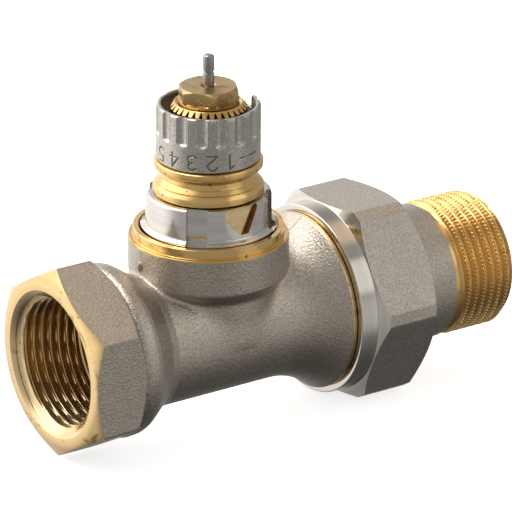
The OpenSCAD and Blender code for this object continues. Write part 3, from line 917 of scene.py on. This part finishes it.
INNER = {
    "bonnet_o_ring": (black_rubber, "black_rubber"),
    "sleeve_o_rings": (black_rubber, "black_rubber"),
    "gland_o_ring": (black_rubber, "black_rubber"),
    "pin_seal": (black_rubber, "black_rubber"),
    "cone_seal": (black_rubber, "black_rubber"),
    "tail_o_ring": (black_rubber, "black_rubber"),
    "throttle_cylinder": (dark_plastic, "dark_plastic"),
    "pin_backing_ring": (white_plastic, "white_plastic"),
    "spindle": (steel, "stainless_steel"),
    "spring_cup": (brass_z, "machined_brass"),
    "cone_plate": (brass_z, "machined_brass"),
    "cone_nut": (brass_z, "machined_brass"),
}
for name, (material, slot) in INNER.items():
    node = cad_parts[name]
    node.data.materials.clear()
    node.data.materials.append(material)


# ---------------------------------------------------------------- floor, light and camera

def floor():
    """A flat pale floor."""
    half, cells = 4.0, 40
    grid = np.linspace(-half, half, cells + 1)
    x, y = np.meshgrid(grid, grid, indexing="ij")
    z = np.full_like(x, FLOOR_Z * MM)
    index = np.arange((cells + 1) ** 2).reshape(cells + 1, cells + 1)
    faces = np.stack([index[:-1, :-1], index[1:, :-1], index[1:, 1:], index[:-1, 1:]], -1).reshape(-1, 4)
    mesh = bpy.data.meshes.new("floor")
    mesh.from_pydata(np.stack([x, y, z], -1).reshape(-1, 3).tolist(), [], faces.tolist())
    piece = bpy.data.objects.new("floor", mesh)
    bpy.context.scene.collection.objects.link(piece)
    r = Recipe("floor")
    mesh.materials.append(r.done(Base_Color=colour(0.9, 0.9, 0.9), Roughness=0.8,
                                 Emission_Color=colour(1, 1, 1), Emission_Strength=0.7))
    piece.visible_glossy = False


def area_light(name, at, toward, size, power, tint=(1, 1, 1)):
    data = bpy.data.lights.new(name, "AREA")
    data.shape, data.size, data.size_y = "RECTANGLE", size[0], size[1]
    data.energy, data.color = power, tint
    light = bpy.data.objects.new(name, data)
    light.location = at
    light.rotation_euler = (Vector(toward) - Vector(at)).to_track_quat("-Z", "Y").to_euler()
    bpy.context.scene.collection.objects.link(light)


# soft lights round the object: direction, angle where each fades out and where it is full, strength, tint
LOBES = [
    ((-0.3, 0.9, -0.15), 75, 30, 1.05, (1, 1, 1)),
    ((-0.37, 0.5, 0.78), 45, 20, 1.4, (1, 1, 1)),
    ((-1, 0.1, 0.25), 60, 20, 0.1, (1, 1, 1)),
    ((0.5, -0.70, 0.50), 24, 15, 0.65, (1, 1, 1)),
    ((0.5, -0.85, -0.15), 26, 12, 0.25, (1, 1, 1)),
    ((0.51, 0.05, 0.86), 22, 8, 0.55, (1, 0.68, 0.36)),
    ((0.05, -1, 0.15), 7, 3, 1.2, (1, 1, 1)),
]
ROOM = 0.43
WHITE = (1, 0.985, 0.965)


def studio():
    """A dim room with soft lights round the object, dimmer toward the floor."""
    world = bpy.data.worlds.new("studio")
    bpy.context.scene.world = world
    world.use_nodes = True
    tree = world.node_tree

    def node(kind, **settings):
        made = tree.nodes.new(kind)
        for key, value in settings.items():
            setattr(made, key, value)
        return made

    def ramp(value, low, high, to_low, to_high):
        made = node("ShaderNodeMapRange", interpolation_type="SMOOTHSTEP")
        tree.links.new(value, made.inputs["Value"])
        for key, number in zip(("From Min", "From Max", "To Min", "To Max"), (low, high, to_low, to_high)):
            made.inputs[key].default_value = number
        return made.outputs["Result"]

    def vector(operation, first, second):
        """A vector operation. The second value is a vector, or a socket, or the scale of a SCALE."""
        made = node("ShaderNodeVectorMath", operation=operation)
        last = made.inputs["Scale" if operation == "SCALE" else 1]
        for socket, value in ((made.inputs[0], first), (last, second)):
            if isinstance(value, bpy.types.NodeSocket):
                tree.links.new(value, socket)
            else:
                socket.default_value = value
        return made.outputs

    direction = node("ShaderNodeTexCoord").outputs["Generated"]
    total = Vector(WHITE) * ROOM
    for toward, outer, inner, strength, tint in LOBES:
        dot = vector("DOT_PRODUCT", direction, Vector(toward).normalized())["Value"]
        share = ramp(dot, math.cos(math.radians(outer)), math.cos(math.radians(inner)), 0, strength)
        light = vector("SCALE", [w * t for w, t in zip(WHITE, tint)], share)["Vector"]
        total = vector("ADD", light, total)["Vector"]
    split = node("ShaderNodeSeparateXYZ")
    tree.links.new(direction, split.inputs[0])
    total = vector("SCALE", total, ramp(split.outputs["Z"], -0.95, -0.15, 0.2, 1))["Vector"]
    tree.links.new(total, tree.nodes["Background"].inputs["Color"])
    aim = (0.045, 0, 0.01)
    area_light("overhead", (-0.12, 0.15, 0.6), aim, (0.3, 0.3), 1.4)
    bpy.context.scene.view_settings.view_transform = "Standard"


def camera():
    """Looks past the crossing of the two axes, turned a little to the right and up."""
    azimuth, elevation, distance = math.radians(-33.6), math.radians(22.95), 0.9594
    back = Vector((math.sin(azimuth) * math.cos(elevation), -math.cos(azimuth) * math.cos(elevation),
                   math.sin(elevation)))
    data = bpy.data.cameras.new("camera")
    data.lens, data.sensor_width, data.clip_start = 359.9, 36, 0.01
    made = bpy.data.objects.new("camera", data)
    made.rotation_mode = "QUATERNION"
    made.location = Vector((NECK_X * MM, 0, 0)) + back * distance
    made.rotation_quaternion = ((-back).to_track_quat("-Z", "Y")
                                @ Quaternion((0, 1, 0), math.radians(-0.5325))
                                @ Quaternion((1, 0, 0), math.radians(0.7592)))
    bpy.context.scene.collection.objects.link(made)
    bpy.context.scene.camera = made


floor()
studio()
camera()
